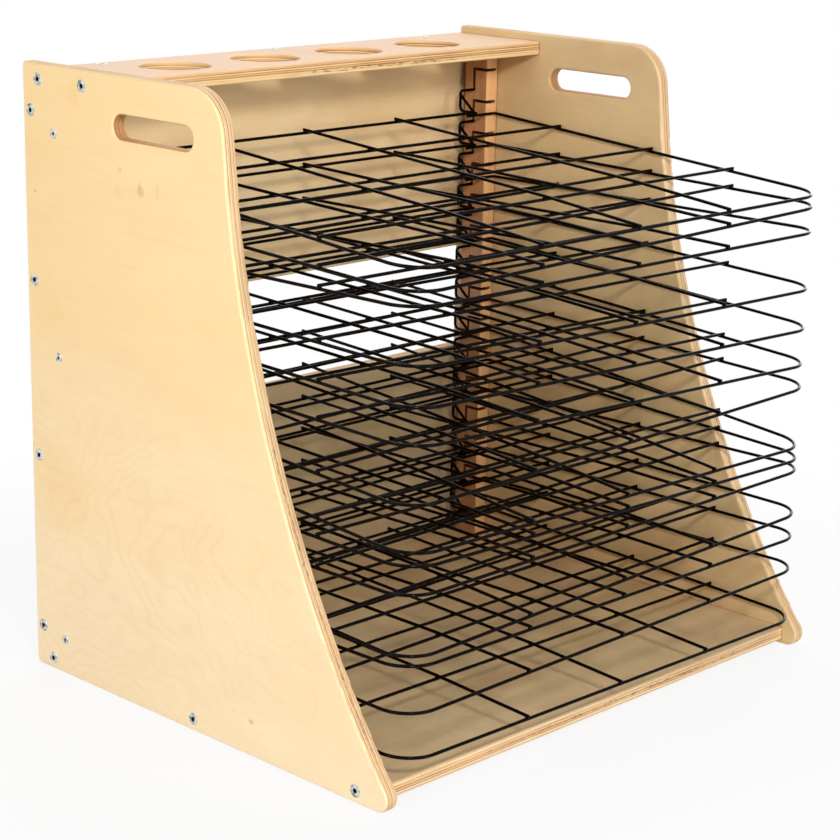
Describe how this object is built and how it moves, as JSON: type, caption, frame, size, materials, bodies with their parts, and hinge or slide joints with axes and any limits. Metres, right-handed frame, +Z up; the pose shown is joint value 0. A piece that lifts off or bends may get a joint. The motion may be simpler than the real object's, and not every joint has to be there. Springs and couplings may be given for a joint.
{
  "type": "art drying rack",
  "caption": "Plywood tabletop drying rack for paintings: open-front case with a pot shelf, and a stack of wire racks hung on pins in slotted uprights, which lift at the front.",
  "frame": {"origin": "at floor level, under the middle of the whole object's box", "axes": "+Z up, -Y out of the open front, +X to the right seen from the front"},
  "size_m": [0.6508, 0.5382, 0.64],
  "materials": {
    "ply_side": "clear satin lacquer on birch plywood",
    "ply_shelf": "clear satin lacquer on birch plywood",
    "ply_board": "clear satin lacquer on birch plywood",
    "ply_back": "clear satin lacquer on birch plywood",
    "beech": "oiled beech",
    "zinc_screw": "bright zinc plate",
    "black_wire": "gloss black powder coat on steel wire"
  },
  "bodies": {
    "case": {"side_panel_left": "ply_side", "side_panel_right": "ply_side", "top_shelf": "ply_shelf", "bottom_board": "ply_board", "back_panel_upper": "ply_back", "back_panel_lower": "ply_back", "upright_left": "beech", "upright_right": "beech", "shelf_side_screws": "zinc_screw", "shelf_back_screws": "zinc_screw", "board_screws": "zinc_screw", "back_upper_screws": "zinc_screw", "back_lower_screws": "zinc_screw", "upright_screws": "zinc_screw"},
    "rack_01": {"rack_01_rim": "black_wire", "rack_01_wires": "black_wire", "rack_01_hinges": "black_wire"},
    "rack_02": {"rack_02_rim": "black_wire", "rack_02_wires": "black_wire", "rack_02_hinges": "black_wire"},
    "rack_03": {"rack_03_rim": "black_wire", "rack_03_wires": "black_wire", "rack_03_hinges": "black_wire"},
    "rack_04": {"rack_04_rim": "black_wire", "rack_04_wires": "black_wire", "rack_04_hinges": "black_wire"},
    "rack_05": {"rack_05_rim": "black_wire", "rack_05_wires": "black_wire", "rack_05_hinges": "black_wire"},
    "rack_06": {"rack_06_rim": "black_wire", "rack_06_wires": "black_wire", "rack_06_hinges": "black_wire"},
    "rack_07": {"rack_07_rim": "black_wire", "rack_07_wires": "black_wire", "rack_07_hinges": "black_wire"},
    "rack_08": {"rack_08_rim": "black_wire", "rack_08_wires": "black_wire", "rack_08_hinges": "black_wire"},
    "rack_09": {"rack_09_rim": "black_wire", "rack_09_wires": "black_wire", "rack_09_hinges": "black_wire"},
    "rack_10": {"rack_10_rim": "black_wire", "rack_10_wires": "black_wire", "rack_10_hinges": "black_wire"},
    "rack_11": {"rack_11_rim": "black_wire", "rack_11_wires": "black_wire", "rack_11_hinges": "black_wire"},
    "rack_12": {"rack_12_rim": "black_wire", "rack_12_wires": "black_wire", "rack_12_hinges": "black_wire"},
    "rack_13": {"rack_13_rim": "black_wire", "rack_13_wires": "black_wire", "rack_13_hinges": "black_wire"},
    "rack_14": {"rack_14_rim": "black_wire", "rack_14_wires": "black_wire", "rack_14_hinges": "black_wire"}
  },
  "joints": [
    {"name": "rack_01_lift", "type": "hinge", "parent": "case", "child": "rack_01", "pos_m": [0, 0.2261, 0.5695], "axis": [-1, 0, 0], "range_deg": [0, 30]},
    {"name": "rack_02_lift", "type": "hinge", "parent": "case", "child": "rack_02", "pos_m": [0, 0.2261, 0.5321], "axis": [-1, 0, 0], "range_deg": [0, 30]},
    {"name": "rack_03_lift", "type": "hinge", "parent": "case", "child": "rack_03", "pos_m": [0, 0.2261, 0.4947], "axis": [-1, 0, 0], "range_deg": [0, 30]},
    {"name": "rack_04_lift", "type": "hinge", "parent": "case", "child": "rack_04", "pos_m": [0, 0.2261, 0.4573], "axis": [-1, 0, 0], "range_deg": [0, 30]},
    {"name": "rack_05_lift", "type": "hinge", "parent": "case", "child": "rack_05", "pos_m": [0, 0.2261, 0.4199], "axis": [-1, 0, 0], "range_deg": [0, 30]},
    {"name": "rack_06_lift", "type": "hinge", "parent": "case", "child": "rack_06", "pos_m": [0, 0.2261, 0.3825], "axis": [-1, 0, 0], "range_deg": [0, 30]},
    {"name": "rack_07_lift", "type": "hinge", "parent": "case", "child": "rack_07", "pos_m": [0, 0.2261, 0.3451], "axis": [-1, 0, 0], "range_deg": [0, 30]},
    {"name": "rack_08_lift", "type": "hinge", "parent": "case", "child": "rack_08", "pos_m": [0, 0.2261, 0.3077], "axis": [-1, 0, 0], "range_deg": [0, 30]},
    {"name": "rack_09_lift", "type": "hinge", "parent": "case", "child": "rack_09", "pos_m": [0, 0.2261, 0.2703], "axis": [-1, 0, 0], "range_deg": [0, 30]},
    {"name": "rack_10_lift", "type": "hinge", "parent": "case", "child": "rack_10", "pos_m": [0, 0.2261, 0.2329], "axis": [-1, 0, 0], "range_deg": [0, 30]},
    {"name": "rack_11_lift", "type": "hinge", "parent": "case", "child": "rack_11", "pos_m": [0, 0.2261, 0.1955], "axis": [-1, 0, 0], "range_deg": [0, 30]},
    {"name": "rack_12_lift", "type": "hinge", "parent": "case", "child": "rack_12", "pos_m": [0, 0.2261, 0.1581], "axis": [-1, 0, 0], "range_deg": [0, 30]},
    {"name": "rack_13_lift", "type": "hinge", "parent": "case", "child": "rack_13", "pos_m": [0, 0.2261, 0.1207], "axis": [-1, 0, 0], "range_deg": [0, 30]},
    {"name": "rack_14_lift", "type": "hinge", "parent": "case", "child": "rack_14", "pos_m": [0, 0.2261, 0.0833], "axis": [-1, 0, 0], "range_deg": [0, 30]}
  ],
  "couplings": [
    {"joint": "rack_01_lift", "follows": "rack_14_lift", "ratio": 1},
    {"joint": "rack_02_lift", "follows": "rack_14_lift", "ratio": 1},
    {"joint": "rack_03_lift", "follows": "rack_14_lift", "ratio": 1},
    {"joint": "rack_04_lift", "follows": "rack_14_lift", "ratio": 1},
    {"joint": "rack_05_lift", "follows": "rack_14_lift", "ratio": 1},
    {"joint": "rack_06_lift", "follows": "rack_14_lift", "ratio": 1},
    {"joint": "rack_07_lift", "follows": "rack_14_lift", "ratio": 1},
    {"joint": "rack_08_lift", "follows": "rack_14_lift", "ratio": 1},
    {"joint": "rack_09_lift", "follows": "rack_14_lift", "ratio": 1},
    {"joint": "rack_10_lift", "follows": "rack_14_lift", "ratio": 1},
    {"joint": "rack_11_lift", "follows": "rack_14_lift", "ratio": 1},
    {"joint": "rack_12_lift", "follows": "rack_14_lift", "ratio": 1},
    {"joint": "rack_13_lift", "follows": "rack_14_lift", "ratio": 1}
  ]
}
